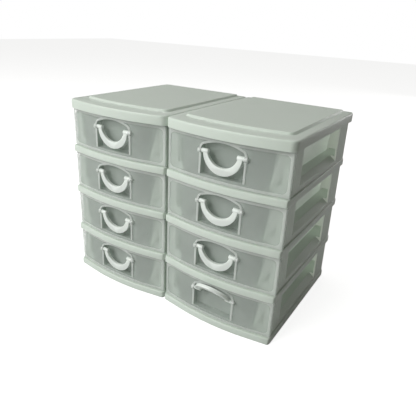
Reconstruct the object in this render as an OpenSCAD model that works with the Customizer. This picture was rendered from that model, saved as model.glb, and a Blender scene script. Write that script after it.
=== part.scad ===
// Pair of desktop mini drawer cabinets.
// Each cabinet is a stack: base, four open-sided tier frames with a shelf between
// each two, and a top cover. Every tier holds a translucent drawer with a bail handle.
// X runs to the right, Y to the back, Z up. The drawers open towards -Y.

/* [Cabinet] */
// Width of one cabinet over its top cover
cab_w = 180; // [150:1:220]
// Depth of one cabinet over its top cover, crown of the bow included
cab_d = 240; // [200:1:300]
// How far the front of the cover bulges past its corners
bow = 11.5; // [6:0.5:20]
// Height of one tier, from one shelf to the next
tier_pitch = 67.8; // [58:0.2:90]
// Gap between the two cabinets at their covers
cab_gap = 0.6; // [0.4:0.1:20]

/* [Top cover] */
// Height of the cover's skirt
cover_h = 13.6; // [12:0.2:20]
// Thickness of the cover's top
cover_t = 2.4; // [1.6:0.1:3.2]
// Thickness of the cover's skirt
cover_wall = 2.4; // [1.6:0.1:3]
// Radius of the cover's front corners in plan
cover_corner_r = 10; // [6:0.5:14]
// Radius of the cover's rear corners in plan
cover_rear_r = 5; // [3:0.5:10]
// Radius of the cover's top edge
cover_edge_r = 2.6; // [1:0.1:4]
// Height of the raised panel on top
panel_h = 2.2; // [1:0.1:4]
// Width of the flat border beside the raised panel
panel_side = 13; // [8:0.5:25]
// Width of the flat border in front of the raised panel
panel_front = 22; // [12:0.5:35]
// Width of the flat border behind the raised panel
panel_rear = 6; // [4:0.5:20]
// Run of the raised panel's sloping edge
panel_slope = 4.4; // [1:0.1:8]

/* [Shelves and base] */
// Height of a shelf's lip
lip_h = 10; // [8:0.2:14]
// How far a lip's side lies inside the cover's side
lip_side_in = 3.5; // [2:0.1:6]
// How far a lip's front lies behind the cover's front
lip_front_in = 2; // [0.5:0.1:5]
// How far a lip's rear lies inside the cover's rear
lip_rear_in = 2; // [1:0.1:5]
// Thickness of a lip
lip_wall = 2.2; // [1.6:0.1:3]
// Radius of a lip's front corners in plan
lip_corner_r = 8; // [5:0.5:12]
// Radius of a lip's top edge
lip_edge_r = 2; // [0.6:0.1:3]
// Thickness of a shelf's plate
shelf_t = 2.4; // [1.6:0.1:3.2]
// Height of the two slide ribs that a drawer runs on
runner_h = 1; // [0.6:0.1:2]
// Width of a slide rib
runner_w = 3; // [2:0.1:6]
// Distance of a slide rib from the cabinet's middle
runner_x = 42; // [20:1:50]
// Thickness of the stiffening ribs under covers and shelves
rib_t = 1.6; // [1:0.1:3]
// Depth of the stiffening ribs under covers and shelves
rib_h = 4; // [2:0.1:5]

/* [Tier frames] */
// Thickness of a tier frame's walls
wall_t = 2.4; // [1.8:0.1:3]
// How far a side wall's foot lies inside the cover's side, at the front
wall_in_front = 9; // [7.5:0.1:12]
// How far a side wall's foot lies inside the cover's side, at the rear
wall_in_rear = 4.6; // [4.2:0.1:7]
// How much a wall leans in from its foot to its top
wall_draft = 1.4; // [1:0.1:2]
// How far behind the cover's corners the front posts stand
post_y = 14; // [12:0.5:20]
// Width of the flange that a front post turns inwards
post_return = 6; // [3:0.5:8]
// Length of a front post along the side
front_post_l = 29; // [20:1:40]
// Length of a rear post along the side
rear_post_l = 38; // [25:1:50]
// Height of a side window's sill above the shelf
sill_h = 12; // [10:0.5:18]
// Width of the sill from its inner edge to its chamfer
sill_w = 12; // [8:0.5:14]
// Height of the chamfer along the sill's outer edge
sill_chamfer = 8; // [3:0.5:9]
// Distance of a sill's inner edge from the cover's side
sill_in = 26; // [24:0.5:30]
// Height of the rail above a side window
head_h = 4; // [2:0.5:8]
// Radius of a tier frame's rear corners in plan
frame_corner_r = 6; // [5:0.5:8]
// Length of a locking tab at a wall's foot
tab_l = 10; // [6:0.5:16]

/* [Drawers] */
// Thickness of the front and the walls of a drawer
drawer_wall = 1.8; // [1.4:0.1:2.4]
// Thickness of a drawer's floor
drawer_floor = 1.6; // [1.2:0.1:2.4]
// How far a drawer's front lies behind the cover's front
front_in = 5.6; // [4.5:0.1:8]
// How far a drawer front's side lies inside the cover's side
front_side_in = 4.5; // [3.6:0.1:7]
// Gap between a drawer's front and the shelf below it
front_gap_low = 0.9; // [0.6:0.1:2]
// Gap between a drawer's front and the lip above it
front_gap_top = 1.3; // [0.6:0.1:3]
// Width of the raised border round a drawer's front
border_w = 4; // [2.5:0.5:8]
// Height of that border
border_h = 0.6; // [0.3:0.1:1]
// Inner corner radius of that border
border_r = 6; // [3:0.5:10]
// Height of a drawer's box above the shelf
box_h = 50; // [38:0.5:52]
// How much a box side leans out from its foot to its top
box_draft = 2.7; // [1:0.1:4]
// Radius along the bottom edges of a box
box_r = 5; // [2:0.5:8]
// Gap between a drawer's rear and the cabinet's back
box_rear_gap = 10; // [6:0.5:40]
// Width of the rim round the top of a box
box_rim = 2.6; // [1.5:0.1:4]

/* [Finger recess] */
// Width of the recess
recess_w = 61; // [56:0.5:76]
// Height of the recess floor above the shelf
recess_low = 8.5; // [5:0.5:12]
// Height of the recess's upper corners above its floor
recess_side_h = 37; // [35:0.5:39]
// Rise of the arch over the recess
recess_arch = 7.5; // [4:0.5:9]
// Depth of the recess behind the front at its middle
recess_d = 11; // [10:0.5:14]
// Radius of the recess's upper corners
recess_r = 5; // [2:0.5:8]
// Width of the bead round the recess
bead_w = 2.8; // [1.5:0.1:3.2]
// How far that bead stands out
bead_h = 0.8; // [0.4:0.1:1.2]

/* [Handle] */
// Outer radius of the bail
bail_r = 27.3; // [24:0.1:27.4]
// Radius of the bail's inner edge
bail_inner_r = 22.2; // [19:0.1:22.6]
// How far the inner edge's centre lies above the pivots
bail_inner_up = 4.7; // [3:0.1:6]
// Thickness of the bail from front to back
bail_t = 4.4; // [3:0.1:5]
// Height of the pivots above the recess's floor
pivot_up = 30.5; // [30:0.1:32]
// How far the pivots lie behind the crown of the drawer's front
pivot_in = 2.3; // [2:0.1:3]
// Radius of a pivot pin
pin_r = 2.2; // [1.6:0.05:2.4]
// Radial clearance of a pin in its ear
pin_play = 0.08; // [0.05:0.01:0.1]
// Radius of the boss that a pin grows from
boss_r = 2.9; // [2.6:0.1:3.2]
// Outer radius of a pivot ear
ear_r = 3.5; // [3.2:0.1:3.8]
// Length of a pivot ear
ear_l = 4; // [3:0.1:6]
// Angle that the lifted handle is left at, from hanging
lifted_deg = 140; // [90:1:145]

/* [Hidden] */

tier_count = 4;
// Gap of a drawer to what it rests on or stops against
seat_gap = 0.3;
// Gap of a drawer's box to a sill's inner edge
slide_gap = 0.6;
// Gap of a locking tab in its slot
tab_gap = 0.15;
// Overlap that joins two solids, and the overshoot of a cut
eps = 0.01;
// Longer than anything that it cuts
far = 600;
// Facets of a round pin or bore
round_fn = 48;
// Radius along the foot of a lip or skirt
foot_r = 0.5;
// Gap from a tier's rear wall to the edge of the lip below it
wall_rear_in = 1;
// Thickness of a locking tab, its set-back in the wall, and how short it stops
tab_t = 1.2;
tab_set = 0.5;
tab_short = 0.2;
// Radius of a drawer front's corners in plan
front_corner_r = 3;
// Width of the edge turned back along a drawer front's top and foot
front_rim = 6;
// How far a pin's boss laps behind the bail's arm, and its gap to the recess's side
boss_lap = 1.7;
boss_gap = 0.5;
// How far a pin stands out of its ear
pin_out = 0.5;

// The bow is part of a circle through the cover's front corners and its crown.
bow_r = (cab_w * cab_w / 4 + bow * bow) / (2 * bow);
bow_cy = bow_r - bow;
rear_y = cab_d - bow;
half_w = cab_w / 2;

// Heights above the floor of the cabinet.
stack_h = tier_count * tier_pitch;
cover_under = stack_h + cover_h - cover_t;
function shelf_z(tier) = (tier_count - tier) * tier_pitch;
function frame_top(tier) = tier == 1 ? cover_under : shelf_z(tier - 1) + lip_h - shelf_t;

// Tier frame: half widths, spread and rear of the wall's foot.
foot_front_x = half_w - wall_in_front;
foot_rear_x = half_w - wall_in_rear;
foot_rear_y = rear_y - lip_rear_in - wall_rear_in;
wall_spread = (foot_rear_x - foot_front_x) / (foot_rear_y - post_y);
win_y0 = post_y + front_post_l;
win_y1 = foot_rear_y - rear_post_l;
sill_x = half_w - sill_in;
chamfer_slope = sill_chamfer / (foot_rear_x - sill_x - sill_w);

// Stiffening ribs stay inside the walls.
rib_x = foot_front_x - 2 * wall_t - post_return;
rib_end_y = foot_rear_y - 2 * wall_t - wall_draft;

// Drawer: levels above its shelf's top and half widths.
front_low = front_gap_low;
front_top = tier_pitch - lip_h - front_gap_top;
front_x = half_w - front_side_in;
box_low = runner_h + seat_gap;
box_slope = box_draft / (box_h - box_low);
box_x = sill_x - slide_gap - box_slope * (sill_h - box_low);
box_rear_y = foot_rear_y - wall_t - wall_draft - box_rear_gap;
wing_rear_y = post_y - seat_gap;

// Finger recess and handle pivots.
crown_y = front_in - bow;
recess_back_y = crown_y + recess_d;
pivot_y = crown_y + pivot_in;
pivot_z = recess_low + pivot_up;
ear_end = recess_w / 2 + ear_l;

// The lifted handle reaches furthest forward, so it sets the middle of the whole in Y.
lift_up = lifted_deg - 90;
lifted_reach = bail_r * cos(lift_up) + bail_t / 2 * sin(lift_up);
front_reach = min(-bow, pivot_y - lifted_reach);
mid_y = (rear_y + front_reach) / 2;

frame_colour = [0.83, 0.88, 0.85];
drawer_colour = [0.72, 0.76, 0.74, 0.75];
handle_colour = [0.93, 0.96, 0.94];

// ---- Outlines ----

function arc(cx, cy, r, from, to, steps) =
    [for (i = [0:steps]) let (a = from + (to - from) * i / steps) [cx + r * cos(a), cy + r * sin(a)]];

function inner(points) = [for (i = [1:len(points) - 2]) points[i]];

// Plan of a slab with a bowed front: half width, inset of the bow behind the cover's,
// front corner radius, rear and rear corner radius.
function plan(hw, inset, r, rear, rr) =
    let (
        cx = hw - r,
        reach = bow_r - inset - r,
        cy = bow_cy - sqrt(reach * reach - cx * cx),
        lean = atan2(cy - bow_cy, cx))
    concat(
        arc(cx, cy, r, lean, 0, 5),
        arc(hw - rr, rear - rr, rr, 0, 90, 3),
        arc(rr - hw, rear - rr, rr, 90, 180, 3),
        arc(-cx, cy, r, 180, 180 - lean, 5),
        inner(arc(0, bow_cy, bow_r - inset, 180 - lean, 360 + lean, 18)));

// The same plan drawn in evenly by d.
function plan_in(p, d) =
    plan(p[0] - d, p[1] + d, max(p[2] - d, 0.4), p[3] - d, max(p[4] - d, 0.4));

// Heights and insets of a slab's edge: small round at the foot, larger one on top.
function edge_rings(h, low_r, top_r) = concat(
    [[0, low_r], [low_r, 0]],
    [for (a = [0:30:90]) [h - top_r + top_r * sin(a), top_r * (1 - cos(a))]]);

// Rectangle with round corners, half width hw, from low to high.
function round_box(hw, low, high, r) = concat(
    arc(hw - r, low + r, r, -90, 0, 5),
    arc(hw - r, high - r, r, 0, 90, 5),
    arc(r - hw, high - r, r, 90, 180, 5),
    arc(r - hw, low + r, r, 180, 270, 5));

// Solid through rings of equally many points, one above the other.
module loft(rings, levels) {
    n = len(rings[0]);
    last = len(rings) - 1;
    points = [for (k = [0:last]) for (p = rings[k]) [p[0], p[1], levels[k]]];
    sides = [for (k = [0:last - 1]) for (i = [0:n - 1])
        let (j = (i + 1) % n, a = k * n, b = a + n)
        each [[a + i, b + i, b + j], [a + i, b + j, a + j]]];
    foot = [[for (i = [0:n - 1]) i]];
    head = [[for (i = [n - 1:-1:0]) last * n + i]];
    polyhedron(points, concat(foot, sides, head), convexity = 4);
}

module bowed_slab(p, h, low_r, top_r) {
    rings = edge_rings(h, low_r, top_r);
    loft([for (e = rings) plan_in(p, e[1])], [for (e = rings) e[0]]);
}

module prism(p, z0, z1) {
    translate([0, 0, z0])
        linear_extrude(z1 - z0) polygon(p);
}

// Extrudes a shape drawn in X and Z along Y, from y0 to y1.
module along_y(y0, y1) {
    translate([0, y1, 0])
        rotate([90, 0, 0])
            linear_extrude(y1 - y0) children();
}

module both_sides() {
    children();
    mirror([1, 0, 0]) children();
}

// ---- Top cover ----

cover_plan = [half_w, 0, cover_corner_r, rear_y, cover_rear_r];
panel_plan = [half_w - panel_side, panel_front, cover_corner_r, rear_y - panel_rear, cover_rear_r];

// Two ribs along the depth and three across it, from z0 to z1.
module stiffening_ribs(z0, z1) {
    l = rib_end_y - post_y;
    both_sides()
        translate([rib_x / 2 - rib_t / 2, post_y, z0]) cube([rib_t, l, z1 - z0]);
    for (k = [1:3])
        translate([-rib_x, post_y + l * k / 4 - rib_t / 2, z0]) cube([2 * rib_x, rib_t, z1 - z0]);
}

module top_cover() {
    color(frame_colour)
        translate([0, 0, stack_h]) {
            difference() {
                union() {
                    bowed_slab(cover_plan, cover_h, foot_r, cover_edge_r);
                    loft([plan_in(panel_plan, -eps), plan_in(panel_plan, panel_slope)],
                        [cover_h - eps, cover_h + panel_h]);
                }
                prism(plan_in(cover_plan, cover_wall), -eps, cover_h - cover_t);
                prism(plan_in(panel_plan, panel_slope), cover_h - cover_t - 1, cover_h + panel_h - cover_t);
            }
            stiffening_ribs(cover_h - cover_t - rib_h, cover_h + panel_h - cover_t);
        }
}

// ---- Shelves and base ----

lip_plan = [half_w - lip_side_in, lip_front_in, lip_corner_r, rear_y - lip_rear_in, cover_rear_r];

// Inner face of a side wall's foot at y.
function foot_inner_x(y) = foot_front_x + wall_spread * (y - post_y) - wall_t;

// Locking tabs of both walls, or their slots, from z0 to z1.
module tabs(z0, z1, gap) {
    both_sides()
        for (y = [win_y0, win_y1])
            translate([foot_inner_x(y) + tab_set - gap, y - tab_l / 2 - gap, z0])
                cube([tab_t + 2 * gap, tab_l + 2 * gap, z1 - z0]);
}

module lipped_plate(rib_low) {
    difference() {
        bowed_slab(lip_plan, lip_h, foot_r, lip_edge_r);
        prism(plan_in(lip_plan, lip_wall), -eps, lip_h - shelf_t);
        tabs(lip_h - shelf_t - eps, lip_h + eps, tab_gap);
    }
    stiffening_ribs(rib_low, lip_h - shelf_t + eps);
    both_sides()
        translate([runner_x - runner_w / 2, post_y, lip_h - eps])
            cube([runner_w, rib_end_y - post_y, runner_h + eps]);
}

module shelf(tier) {
    color(frame_colour)
        translate([0, 0, shelf_z(tier)])
            lipped_plate(lip_h - shelf_t - rib_h);
}

module base() {
    color(frame_colour)
        lipped_plate(0);
}

// ---- Tier frames ----

// Plan of a tier's walls at their foot, drawn in evenly: they spread towards the back.
function tier_plan(inset, front) =
    let (
        back = foot_rear_y - inset,
        x0 = foot_front_x - inset + wall_spread * (front - post_y),
        x1 = foot_front_x - inset + wall_spread * (back - post_y),
        r = frame_corner_r - inset)
    concat(
        [[x0, front]],
        arc(x1 - r, back - r, r, 0, 90, 5),
        arc(r - x1, back - r, r, 90, 180, 5),
        [[-x0, front]]);

module leaning_block(inset, front, z0, z1, h) {
    lean = wall_draft / h;
    loft([tier_plan(inset + lean * z0, front), tier_plan(inset + lean * z1, front)], [z0, z1]);
}

// Open channel under a sill, closed at both ends.
module sill_hollow() {
    inner_x = sill_x + wall_t;
    bend_x = sill_x + sill_w - wall_t / 2;
    outer_x = foot_front_x - wall_t - wall_draft;
    top = sill_h - wall_t;
    along_y(post_y + wall_t, foot_rear_y - 2 * wall_t)
        polygon([
            [inner_x, -eps], [inner_x, top], [bend_x, top],
            [outer_x, top - chamfer_slope * (outer_x - bend_x)], [outer_x, -eps]]);
}

module side_window(top) {
    chamfer_x = sill_x + sill_w;
    outer_x = half_w;
    along_y(win_y0, win_y1)
        polygon([
            [sill_x - 1, sill_h], [chamfer_x, sill_h],
            [outer_x, sill_h - chamfer_slope * (outer_x - chamfer_x)],
            [outer_x, top], [sill_x - 1, top]]);
}

module sills_and_posts(h) {
    both_sides() {
        translate([sill_x, post_y, 0])
            cube([half_w - sill_x, foot_rear_y - post_y, sill_h]);
        translate([foot_front_x - wall_t - post_return, post_y, 0])
            cube([half_w, wall_t, h]);
    }
}

module tier_frame(tier) {
    foot_z = shelf_z(tier) + lip_h;
    h = frame_top(tier) - foot_z;
    color(frame_colour)
        translate([0, 0, foot_z]) {
            difference() {
                union() {
                    difference() {
                        leaning_block(0, post_y, 0, h, h);
                        leaning_block(wall_t, post_y - wall_t, -1, h + 1, h);
                    }
                    intersection() {
                        leaning_block(wall_t / 2, post_y, 0, h, h);
                        sills_and_posts(h);
                    }
                }
                both_sides() {
                    side_window(tier_pitch - lip_h - head_h);
                    sill_hollow();
                }
            }
            tabs(tab_short - shelf_t, eps, 0);
        }
}

// ---- Drawers ----

// Cross-section of a drawer's box, drawn in by d on its sides and raised by up.
function box_section(d, up, top) =
    let (low = box_low + up, r = box_r - d, x0 = box_x - d, lean = atan(box_slope))
    concat(
        arc(x0 - r, low + r, r, -90, -lean, 5),
        [[x0 + box_slope * (top - low), top], [-x0 - box_slope * (top - low), top]],
        arc(r - x0, low + r, r, 180 + lean, 270, 5));

module across_z(p) {
    prism(p, -far / 2, far / 2);
}

// The front: a bowed wall with its edges turned back.
module drawer_front() {
    w = drawer_wall;
    difference() {
        prism(plan(front_x, front_in, front_corner_r, wing_rear_y, w / 2), front_low, front_top);
        prism(plan(front_x - w, front_in + w, front_corner_r - w, wing_rear_y + w, w / 2),
            front_low + w, front_top - w);
        across_z(plan(front_x - w, front_in + front_rim, front_corner_r - w, wing_rear_y + w, w / 2));
    }
}

module drawer_box(d, up, top) {
    intersection() {
        along_y(-bow, rear_y) polygon(box_section(d, up, top));
        across_z(plan(front_x - d, front_in + d, front_corner_r, box_rear_y - d, box_r - d));
    }
}

// Rim round the top of the box, outside it.
module drawer_rim() {
    top_x = box_x + box_draft;
    difference() {
        translate([-top_x - box_rim, wing_rear_y, box_h - drawer_wall])
            cube([2 * (top_x + box_rim), box_rear_y - wing_rear_y + box_rim, drawer_wall]);
        translate([drawer_wall / 2 - top_x, 0, 0])
            cube([2 * top_x - drawer_wall, box_rear_y - drawer_wall / 2, far]);
    }
}

// The face inside the border lies a little deeper.
module sunk_face() {
    difference() {
        along_y(-bow, wing_rear_y)
            polygon(round_box(front_x - border_w, front_low + border_w, front_top - border_w, border_r));
        across_z(plan(front_x, front_in + border_h, front_corner_r, rear_y, 1));
    }
}

// Outline of the finger recess, grown by g above its floor: straight sides, shallow arch.
function recess_outline(g, floor_z) =
    let (
        hw = recess_w / 2,
        arch_r = (hw * hw + recess_arch * recess_arch) / (2 * recess_arch),
        arch_z = recess_low + recess_side_h + recess_arch - arch_r,
        cx = hw - recess_r,
        cz = arch_z + sqrt(pow(arch_r - recess_r, 2) - cx * cx),
        lean = atan2(cz - arch_z, cx))
    concat(
        [[hw + g, floor_z]],
        arc(cx, cz, recess_r + g, 0, lean, 4),
        inner(arc(0, arch_z, arch_r + g, lean, 180 - lean, 12)),
        arc(-cx, cz, recess_r + g, 180 - lean, 180, 4),
        [[-hw - g, floor_z]]);

module recess_walls() {
    intersection() {
        along_y(-bow, recess_back_y + drawer_wall)
            polygon(recess_outline(drawer_wall, recess_low - drawer_wall));
        across_z(plan(front_x, front_in + border_h, front_corner_r, rear_y, 1));
    }
}

module recess_bead() {
    intersection() {
        along_y(-bow, recess_back_y) polygon(recess_outline(bead_w, recess_low));
        difference() {
            across_z(plan(front_x, front_in + border_h - bead_h, front_corner_r, rear_y, 1));
            across_z(plan(front_x, front_in + drawer_wall, front_corner_r, rear_y, 1));
        }
    }
}

module pivot_axis(x0, x1, r) {
    translate([x0, pivot_y, pivot_z])
        rotate([0, 90, 0])
            cylinder(r = r, h = x1 - x0, $fn = round_fn);
}

module drawer(tier) {
    color(drawer_colour)
        translate([0, 0, shelf_z(tier) + lip_h])
            difference() {
                union() {
                    difference() {
                        union() {
                            drawer_front();
                            drawer_box(0, 0, box_h);
                        }
                        drawer_box(drawer_wall, drawer_floor, box_h + eps);
                        sunk_face();
                    }
                    drawer_rim();
                    recess_walls();
                    recess_bead();
                    both_sides() pivot_axis(recess_w / 2 + eps, ear_end, ear_r);
                }
                along_y(-rear_y, recess_back_y) polygon(recess_outline(0, recess_low));
                both_sides() pivot_axis(recess_w / 2 - 1, ear_end + 1, pin_r + pin_play);
            }
}

// ---- Handle ----

module rod(x0, x1, r) {
    translate([x0, 0, 0])
        rotate([0, 90, 0])
            cylinder(r = r, h = x1 - x0, $fn = round_fn);
}

module bail() {
    along_y(-bail_t / 2, bail_t / 2)
        difference() {
            circle(bail_r, $fn = 96);
            translate([0, bail_inner_up]) circle(bail_inner_r, $fn = 96);
            translate([-bail_r - 1, 0]) square(2 * bail_r + 2);
        }
    both_sides() {
        rod(bail_inner_r - boss_lap, recess_w / 2 - boss_gap, boss_r);
        rod(bail_r - eps, ear_end + pin_out, pin_r);
    }
}

module handle(tier, lift) {
    color(handle_colour)
        translate([0, pivot_y, shelf_z(tier) + lip_h + pivot_z])
            rotate([-lift, 0, 0])
                bail();
}

// ---- The pair ----

// side is 1 for the right cabinet and -1 for the left one.
module in_cabinet(side) {
    translate([side * (cab_w + cab_gap) / 2, -mid_y, 0]) children();
}

in_cabinet(1) top_cover();  // right_top_cover
in_cabinet(1) shelf(1);  // right_shelf_1
in_cabinet(1) shelf(2);  // right_shelf_2
in_cabinet(1) shelf(3);  // right_shelf_3
in_cabinet(1) base();  // right_base
in_cabinet(1) tier_frame(1);  // right_tier_frame_1
in_cabinet(1) tier_frame(2);  // right_tier_frame_2
in_cabinet(1) tier_frame(3);  // right_tier_frame_3
in_cabinet(1) tier_frame(4);  // right_tier_frame_4
in_cabinet(1) drawer(1);  // right_drawer_1
in_cabinet(1) drawer(2);  // right_drawer_2
in_cabinet(1) drawer(3);  // right_drawer_3
in_cabinet(1) drawer(4);  // right_drawer_4
in_cabinet(1) handle(1, 0);  // right_handle_1
in_cabinet(1) handle(2, 0);  // right_handle_2
in_cabinet(1) handle(3, 0);  // right_handle_3
in_cabinet(1) handle(4, lifted_deg);  // right_handle_4
in_cabinet(-1) top_cover();  // left_top_cover
in_cabinet(-1) shelf(1);  // left_shelf_1
in_cabinet(-1) shelf(2);  // left_shelf_2
in_cabinet(-1) shelf(3);  // left_shelf_3
in_cabinet(-1) base();  // left_base
in_cabinet(-1) tier_frame(1);  // left_tier_frame_1
in_cabinet(-1) tier_frame(2);  // left_tier_frame_2
in_cabinet(-1) tier_frame(3);  // left_tier_frame_3
in_cabinet(-1) tier_frame(4);  // left_tier_frame_4
in_cabinet(-1) drawer(1);  // left_drawer_1
in_cabinet(-1) drawer(2);  // left_drawer_2
in_cabinet(-1) drawer(3);  // left_drawer_3
in_cabinet(-1) drawer(4);  // left_drawer_4
in_cabinet(-1) handle(1, 0);  // left_handle_1
in_cabinet(-1) handle(2, 0);  // left_handle_2
in_cabinet(-1) handle(3, 0);  // left_handle_3
in_cabinet(-1) handle(4, 0);  // left_handle_4
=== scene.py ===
"""Looks of two desktop mini drawer cabinets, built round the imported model.

Lengths are in metres. "Out" is measured from a cabinet's middle towards its sides, and
"back" from the front corners of its cover towards the rear."""
import math

import bpy
from mathutils import Matrix, Vector


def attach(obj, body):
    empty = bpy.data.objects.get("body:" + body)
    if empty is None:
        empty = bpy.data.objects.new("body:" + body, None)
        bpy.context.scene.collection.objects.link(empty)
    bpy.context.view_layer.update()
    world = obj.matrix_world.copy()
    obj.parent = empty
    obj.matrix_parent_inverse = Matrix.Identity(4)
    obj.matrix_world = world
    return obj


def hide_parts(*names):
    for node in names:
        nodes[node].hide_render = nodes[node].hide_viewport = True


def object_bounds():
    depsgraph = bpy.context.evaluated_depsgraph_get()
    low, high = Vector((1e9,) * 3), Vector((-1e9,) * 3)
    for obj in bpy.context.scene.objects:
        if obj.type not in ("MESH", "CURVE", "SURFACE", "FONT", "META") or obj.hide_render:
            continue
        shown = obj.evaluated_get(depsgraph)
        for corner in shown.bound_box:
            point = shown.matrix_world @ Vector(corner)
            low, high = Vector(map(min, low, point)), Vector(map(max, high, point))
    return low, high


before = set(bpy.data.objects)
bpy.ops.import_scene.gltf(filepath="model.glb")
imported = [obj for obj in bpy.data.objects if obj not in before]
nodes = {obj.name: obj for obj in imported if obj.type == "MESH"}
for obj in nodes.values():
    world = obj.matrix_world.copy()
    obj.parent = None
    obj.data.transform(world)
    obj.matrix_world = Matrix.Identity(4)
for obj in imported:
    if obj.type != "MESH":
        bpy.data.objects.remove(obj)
cad_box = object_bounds()


# ---- Camera ----

def aimed(azimuth, elevation, roll):
    """Camera axes as a rotation: azimuth 0 looks along +Y, roll turns the picture."""
    a, e, r = map(math.radians, (azimuth, elevation, roll))
    back = Vector((math.sin(a) * math.cos(e), -math.cos(a) * math.cos(e), math.sin(e)))
    right = (-back).cross(Vector((0, 0, 1))).normalized()
    up = back.cross(right)
    turned_right = right * math.cos(r) + up * math.sin(r)
    turned_up = up * math.cos(r) - right * math.sin(r)
    return Matrix((turned_right, turned_up, back)).transposed().to_quaternion()


def make_camera():
    data = bpy.data.cameras.new("camera")
    data.sensor_width = 36.0
    data.lens = 36.63
    data.shift_x, data.shift_y = 0.0198, 0.0066
    data.clip_start, data.clip_end = 0.01, 50.0
    camera = bpy.data.objects.new("camera", data)
    camera.location = (0.3325, -0.5401, 0.3988)
    camera.rotation_mode = "QUATERNION"
    camera.rotation_quaternion = aimed(32.02, 24.17, 2.94)
    bpy.context.scene.collection.objects.link(camera)
    bpy.context.scene.camera = camera


# ---- Stage and light ----

WHITE = (1.0, 1.0, 1.0, 1.0)
SHEEN = 0.2             # share of the white surroundings that shows in glossy reflections
FLOOR_SIZE = 6.0
LAMP_AIM = Vector((0, 0, 0.14))


def node(tree, kind, **sockets):
    made = tree.nodes.new(kind)
    for name, value in sockets.items():
        made.inputs[name.replace("_", " ")].default_value = value
    return made


def white_share(tree, *kinds):
    """How much white a ray sees: all for the named kinds of ray, and SHEEN for glossy ones."""
    path = tree.nodes.new("ShaderNodeLightPath")
    seen = path.outputs[kinds[0]]
    for kind in kinds[1:]:
        either = tree.nodes.new("ShaderNodeMath")
        either.operation = "MAXIMUM"
        tree.links.new(seen, either.inputs[0])
        tree.links.new(path.outputs[kind], either.inputs[1])
        seen = either.outputs[0]
    sheen = tree.nodes.new("ShaderNodeMath")
    sheen.operation = "MULTIPLY_ADD"
    sheen.inputs[1].default_value = SHEEN
    tree.links.new(path.outputs["Is Glossy Ray"], sheen.inputs[0])
    tree.links.new(seen, sheen.inputs[2])
    return sheen.outputs[0]


def mix_into(tree, share, plain, white, kind):
    """Mixes two shaders by the share of white into an output node of the kind given."""
    mix = tree.nodes.new("ShaderNodeMixShader")
    out = tree.nodes.new(kind)
    tree.links.new(share, mix.inputs[0])
    tree.links.new(plain, mix.inputs[1])
    tree.links.new(white, mix.inputs[2])
    tree.links.new(mix.outputs[0], out.inputs[0])


def make_world():
    world = bpy.data.worlds.new("studio")
    bpy.context.scene.world = world
    world.use_nodes = True
    tree = world.node_tree
    tree.nodes.clear()
    light = node(tree, "ShaderNodeBackground", Color=(1.0, 0.97, 0.84, 1), Strength=0.09)
    seen = node(tree, "ShaderNodeBackground", Color=WHITE, Strength=1.0)
    share = white_share(tree, "Is Camera Ray", "Is Transmission Ray")
    mix_into(tree, share, light.outputs[0], seen.outputs[0], "ShaderNodeOutputWorld")


def make_floor():
    mesh = bpy.data.meshes.new("floor")
    corners = [(x * FLOOR_SIZE, y * FLOOR_SIZE, 0) for x, y in ((-1, -1), (1, -1), (1, 1), (-1, 1))]
    mesh.from_pydata(corners, [], [(0, 1, 2, 3)])
    floor = bpy.data.objects.new("floor", mesh)
    bpy.context.scene.collection.objects.link(floor)
    material = bpy.data.materials.new("floor_white")
    material.use_nodes = True
    tree = material.node_tree
    tree.nodes.clear()
    plain = node(tree, "ShaderNodeBsdfDiffuse", Color=(0.55, 0.55, 0.55, 1))
    glow = node(tree, "ShaderNodeEmission", Color=WHITE, Strength=0.85)
    both = tree.nodes.new("ShaderNodeAddShader")
    tree.links.new(plain.outputs[0], both.inputs[0])
    tree.links.new(glow.outputs[0], both.inputs[1])
    share = white_share(tree, "Is Camera Ray")
    mix_into(tree, share, plain.outputs[0], both.outputs[0], "ShaderNodeOutputMaterial")
    mesh.materials.append(material)


def area_light(name, towards, distance, size, power, colour=(1, 1, 1)):
    """A square lamp that lies from the object in the direction towards, and faces it."""
    data = bpy.data.lights.new(name, "AREA")
    data.size = size
    data.energy = power
    data.color = colour
    lamp = bpy.data.objects.new(name, data)
    direction = Vector(towards).normalized()
    lamp.location = LAMP_AIM + direction * distance
    lamp.rotation_mode = "QUATERNION"
    lamp.rotation_quaternion = (-direction).to_track_quat("-Z", "Y")
    bpy.context.scene.collection.objects.link(lamp)


def make_lamps():
    area_light("key", (-0.45, -0.75, 0.5), 2.6, 2.0, 60, (0.99, 1.0, 0.99))
    area_light("ceiling", (-0.2, 0.25, 0.95), 1.8, 1.2, 8)
    area_light("rear", (0.3, 0.95, 0.03), 2.6, 1.4, 9)


# ---- Materials ----

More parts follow.
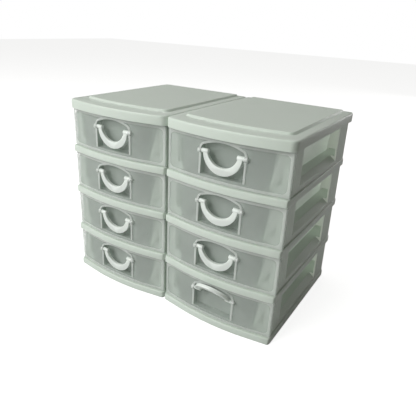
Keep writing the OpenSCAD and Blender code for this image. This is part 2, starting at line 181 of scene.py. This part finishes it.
def plastic(name, colour, tint, roughness, specular, spread, alpha=1.0, glow=0.0, bump=0.02):
    """Moulded plastic: faint cloudy colour change, uneven gloss and a fine texture.

    spread is the share through which light spreads, and alpha leaves the clear share open.
    glow is painted light: an emission that stands in for the light a thin clear wall passes on from
    all round it."""
    material = bpy.data.materials.new(name)
    material.use_nodes = True
    tree = material.node_tree
    shader = tree.nodes["Principled BSDF"]
    shader.inputs["IOR"].default_value = 1.49
    shader.inputs["Alpha"].default_value = alpha
    shader.inputs["Specular IOR Level"].default_value = specular
    shader.inputs["Subsurface Weight"].default_value = spread
    shader.inputs["Subsurface Radius"].default_value = (1.0, 1.0, 1.0)
    shader.inputs["Subsurface Scale"].default_value = 0.003
    shader.inputs["Emission Color"].default_value = (*colour, 1)
    # painted glow: emission in the plastic's own colour, standing in for light passed on through
    # thin walls
    shader.inputs["Emission Strength"].default_value = glow
    place = tree.nodes.new("ShaderNodeTexCoord")
    clouds = node(tree, "ShaderNodeTexNoise", Scale=14.0, Detail=3.0)
    grain = node(tree, "ShaderNodeTexNoise", Scale=900.0, Detail=2.0)
    shades = tree.nodes.new("ShaderNodeMix")
    shades.data_type = "RGBA"
    shades.inputs["A"].default_value = (*colour, 1)
    shades.inputs["B"].default_value = (*tint, 1)
    gloss = node(tree, "ShaderNodeMapRange")
    gloss.inputs["To Min"].default_value = roughness - 0.05
    gloss.inputs["To Max"].default_value = roughness + 0.07
    relief = node(tree, "ShaderNodeBump", Strength=bump, Distance=0.0004)
    tree.links.new(place.outputs["Object"], clouds.inputs["Vector"])
    tree.links.new(place.outputs["Object"], grain.inputs["Vector"])
    tree.links.new(clouds.outputs["Fac"], shades.inputs["Factor"])
    tree.links.new(shades.outputs["Result"], shader.inputs["Base Color"])
    tree.links.new(clouds.outputs["Fac"], gloss.inputs["Value"])
    tree.links.new(gloss.outputs["Result"], shader.inputs["Roughness"])
    tree.links.new(grain.outputs["Fac"], relief.inputs["Height"])
    tree.links.new(relief.outputs["Normal"], shader.inputs["Normal"])
    return material


def make_plastics():
    """The materials of each kind of piece; its first one covers most of it."""
    return {
        "cabinet": (
            plastic("cabinet_plastic", (0.72, 0.79, 0.72), (0.69, 0.76, 0.69),
                    roughness=0.3, specular=0.4, spread=0.7, bump=0.006),
            # the cabinet's inside faces seen through the windows: a lit copy of the cabinet plastic
            # with a painted glow
            plastic("cabinet_inside_painted_glow", (0.74, 0.78, 0.71), (0.72, 0.76, 0.69),
                    roughness=0.3, specular=0.25, spread=0.7, glow=0.2)),
        "drawer": (
            plastic("drawer_plastic", (0.73, 0.79, 0.745), (0.71, 0.77, 0.725),
                    roughness=0.3, specular=0.12, spread=0.9, alpha=0.33),
            # outer side walls of the drawer box: a brighter copy with a painted glow, standing in
            # for light passed through the drawer
            plastic("drawer_wall_painted_glow", (0.78, 0.84, 0.77), (0.76, 0.82, 0.75),
                    roughness=0.3, specular=0.3, spread=0.9, alpha=0.8, glow=0.2),
            # inner side walls: a darker, more opaque copy of the drawer plastic, painted shade
            # inside the drawer
            plastic("drawer_inner_painted_shade", (0.66, 0.72, 0.68), (0.64, 0.70, 0.66),
                    roughness=0.35, specular=0.1, spread=0.9, alpha=0.85),
            # raised border and bead: less clear where the plastic is thicker, and a lighter colour
            # painted as the highlight they catch
            plastic("drawer_edge_highlight_plastic", (0.86, 0.91, 0.87), (0.84, 0.89, 0.85),
                    roughness=0.25, specular=0.5, spread=0.9, alpha=0.6)),
        "handle": (
            plastic("handle_plastic", (0.91, 0.97, 0.92), (0.89, 0.95, 0.90),
                    roughness=0.22, specular=0.5, spread=0.2),),
    }


DRAWER_FRONT, OUTER_WALL_GLOW, INNER_WALL_SHADE, THICK_EDGE_HIGHLIGHT = range(4)     # places in the drawer's list
CABINET_FACE, CABINET_INSIDE_GLOW = range(2)                         # places in the cabinet's list


# ---- Places on a cabinet ----

CLOSE = 0.0002
TIER = 0.0678
TOP_Z = cad_box[1][2]
COVER_FLAT = 0.2848     # height of the border round the cover's raised panel
CABINET_X = {"right": 0.0903, "left": -0.0903}
CABINET_WIDE = 0.18
CABINET_DEEP = 0.2285   # from the covers' front corners to their rear
CORNER_Y = cad_box[1][1] - CABINET_DEEP
BOW = 0.0115
BOW_RADIUS = (CABINET_WIDE ** 2 / 4 + BOW ** 2) / (2 * BOW)
DRAWER_IN = 0.0056      # how far a drawer's front lies behind the cover's

PANEL_OUT, PANEL_BACK = 0.0785, 0.2235      # how far the panel's foot reaches at most
PANEL_SIDE, PANEL_FRONT = 0.065, 0.1        # beyond is its side edge, before is its front edge
FRONT_DEEP = 0.012      # depth of the drawers' front part, with its turned-back edges
FRONT_OUT = 0.0865      # half width of a drawer's front
BOX_OUT = 0.055         # the box's side walls lie further out than this
WING_OUT = 0.07         # the turned-back edges lie further out than this
LIP_REAR = 0.2255       # where the shelves' lips end at the rear
# faces of a tier frame behind INSIDE_BACK that face inward or forward get the painted glow
INSIDE_BACK = 0.17      # faces further back show through the windows
EAR_OUT, EAR_UP, EAR_REACH = 0.029, 0.039, 0.0045
RECESS_OUT, RECESS_LOW, RECESS_HIGH = 0.036, 0.006, 0.0565

# Places in a cabinet and where they lie on the real one: how far out from its middle, at the
# walls' front and rear ends, and how far back from its front corners.
OUT_FRONT = ((0.0, 0.0), (0.064, 0.064), (0.081, 0.087), (0.0865, 0.0892), (0.090, 0.0900))
OUT_REAR = ((0.0, 0.0), (0.064, 0.064), (0.0854, 0.0881), (0.0865, 0.0892), (0.090, 0.0900))
BACK = ((-0.02, -0.02), (0.004, 0.004), (0.014, 0.0076), (0.043, 0.038),
        (0.1875, 0.1813), (0.2265, 0.2273), (0.2285, 0.2285))
DOWN = ((0.0, 0.0), (0.2822, 0.2817), (COVER_FLAT, COVER_FLAT - 0.0006), (0.287, 0.287))
OUT_DRAWER = ((0.0, 0.0), (0.068, 0.068), (0.0855, 0.0886), (0.09, 0.0895))
BACK_WING = ((-0.02, -0.02), (0.002, 0.002), (0.0137, 0.0073), (0.03, 0.03), (0.3, 0.3))

FOOT_MOVES_BACK = 0.0025
TOP_MOVES_BACK = 0.0009
TOP_MOVES_OUT = 0.0016      # at the panel's sides and rear
BEAD_MOVES_OUT = 0.0008


def moved(value, places):
    """The value carried along between the places on both sides of it."""
    for (a, to_a), (b, to_b) in zip(places, places[1:]):
        if value <= b:
            return to_a + (to_b - to_a) * (value - a) / (b - a)
    return value


def front_of(x):
    """Where a drawer's front lies, at x from its cabinet's middle."""
    return CORNER_Y + BOW_RADIUS - BOW - math.sqrt((BOW_RADIUS - DRAWER_IN) ** 2 - x * x)


# ---- Pieces ----

def side_of(name):
    return name.split("_")[0]


def raise_panel(vertex, middle):
    """A taller step with a steeper edge round the cover's raised panel."""
    x, z = vertex.co.x - middle, vertex.co.z
    out, back = abs(x), vertex.co.y - CORNER_Y
    on_top = z > TOP_Z - CLOSE
    at_foot = abs(z - COVER_FLAT) < CLOSE and out < PANEL_OUT and back < PANEL_BACK
    if back < PANEL_FRONT and (on_top or at_foot):
        vertex.co.y += TOP_MOVES_BACK if on_top else FOOT_MOVES_BACK
    elif on_top:
        vertex.co.y += TOP_MOVES_OUT
    if on_top and out > PANEL_SIDE:
        vertex.co.x += math.copysign(TOP_MOVES_OUT, x)
    if not on_top:
        vertex.co.z = moved(z, DOWN)


def swell_bead(vertex, middle, foot):
    """A bead round the finger recess that stands out as far as the photographed one."""
    x, z = abs(vertex.co.x - middle), vertex.co.z - foot
    at_recess = x < RECESS_OUT and RECESS_LOW < z < RECESS_HIGH
    at_ear = x > EAR_OUT and abs(z - EAR_UP) < EAR_REACH
    if at_recess and not at_ear and front_of(x) - vertex.co.y > CLOSE / 2:
        vertex.co.y -= BEAD_MOVES_OUT


def widen_drawer(vertex, middle):
    """Moves the sides of a drawer's front outward along its bow, and shortens their wings."""
    x, back = vertex.co.x - middle, vertex.co.y - CORNER_Y
    out = abs(x)
    wide = moved(out, OUT_DRAWER)
    if back < FRONT_DEEP:
        vertex.co.y += front_of(wide) - front_of(out)
    if out > WING_OUT:
        vertex.co.y += moved(back, BACK_WING) - back
    vertex.co.x = middle + math.copysign(wide, x)


def widen_tier(vertex, middle):
    """Moves the walls, posts and lips of a tier outward, and its windows forwards."""
    x, back = vertex.co.x - middle, vertex.co.y - CORNER_Y
    share = min(max(back / LIP_REAR, 0.0), 1.0)
    wide = moved(abs(x), OUT_FRONT) * (1 - share) + moved(abs(x), OUT_REAR) * share
    vertex.co.y = CORNER_Y + moved(back, BACK)
    vertex.co.x = middle + math.copysign(wide, x)


def spread_out(name, obj):
    """A piece in place of a node, with sides that reach out as far as the photographed ones."""
    mesh = obj.data.copy()
    piece = bpy.data.objects.new("wide_" + name, mesh)
    bpy.context.scene.collection.objects.link(piece)
    middle = CABINET_X[side_of(name)]
    for vertex in mesh.vertices:
        if "cover" in name:
            raise_panel(vertex, middle)
        elif "drawer" in name:
            swell_bead(vertex, middle, TIER * (4 - int(name[-1])))
            widen_drawer(vertex, middle)
        else:
            widen_tier(vertex, middle)
    if "custom_normal" in mesh.attributes:
        mesh.attributes.remove(mesh.attributes["custom_normal"])
    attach(piece, name if "drawer" in name else side_of(name) + "_cabinet")
    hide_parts(name)
    return piece


def drawer_face(face, middle):
    """Which of the drawer's materials a face has; it is asked before the drawer is widened."""
    x, y = face.center.x - middle, face.center.y
    # outer walls get the painted glow, inner walls the painted shade, and raised parts the painted
    # highlight
    if abs(face.normal.x) > 0.8 and abs(x) > BOX_OUT and y > CORNER_Y + FRONT_DEEP:
        return OUTER_WALL_GLOW if face.normal.x * x > 0 else INNER_WALL_SHADE
    if abs(x) < FRONT_OUT and front_of(x) - y > -0.0003:
        return THICK_EDGE_HIGHLIGHT
    return DRAWER_FRONT


def tier_face(face, middle):
    """Which of the cabinet's materials a face of a tier frame has."""
    normal = face.normal
    inward = normal.x * (face.center.x - middle) < 0 and abs(normal.x) > 0.7
    # inside faces at the rear take the material with the painted glow
    if face.center.y > CORNER_Y + INSIDE_BACK and (inward or normal.y < -0.7):
        return CABINET_INSIDE_GLOW
    return CABINET_FACE


def soften(obj, width):
    """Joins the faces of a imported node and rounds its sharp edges."""
    weld = obj.modifiers.new("weld", "WELD")
    weld.merge_threshold = 0.00001
    planes = obj.modifiers.new("planes", "DECIMATE")
    planes.decimate_type = "DISSOLVE"
    planes.angle_limit = math.radians(0.25)
    planes.delimit = {"NORMAL", "MATERIAL"}
    bevel = obj.modifiers.new("bevel", "BEVEL")
    bevel.width = width
    bevel.segments = 2
    bevel.limit_method = "ANGLE"
    bevel.angle_limit = math.radians(28)
    bevel.use_clamp_overlap = True
    bevel.harden_normals = True
    for face in obj.data.polygons:
        face.use_smooth = True


def dress(name, obj, kind, plastics, edge):
    """Gives a node its shape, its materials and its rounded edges."""
    middle = CABINET_X[side_of(name)]
    drawer_faces = [drawer_face(face, middle) for face in obj.data.polygons]
    if kind != "handle":
        obj = spread_out(name, obj)
    used = plastics if kind == "drawer" or "tier" in name else plastics[:1]
    obj.data.materials.clear()
    for material in used:
        obj.data.materials.append(material)
    for face, drawer_index in zip(obj.data.polygons, drawer_faces):
        if kind == "drawer":
            face.material_index = drawer_index
        elif "tier" in name:
            face.material_index = tier_face(face, middle)
    soften(obj, edge)


EDGES = {"drawer": 0.0003, "handle": 0.0009, "cabinet": 0.00035}


def main():
    bpy.context.scene.view_settings.view_transform = "Standard"
    make_camera()
    make_world()
    make_floor()
    make_lamps()
    plastics = make_plastics()
    for name, obj in nodes.items():
        kind = next((kind for kind in ("drawer", "handle") if kind in name), "cabinet")
        dress(name, obj, kind, plastics[kind], EDGES[kind])


main()
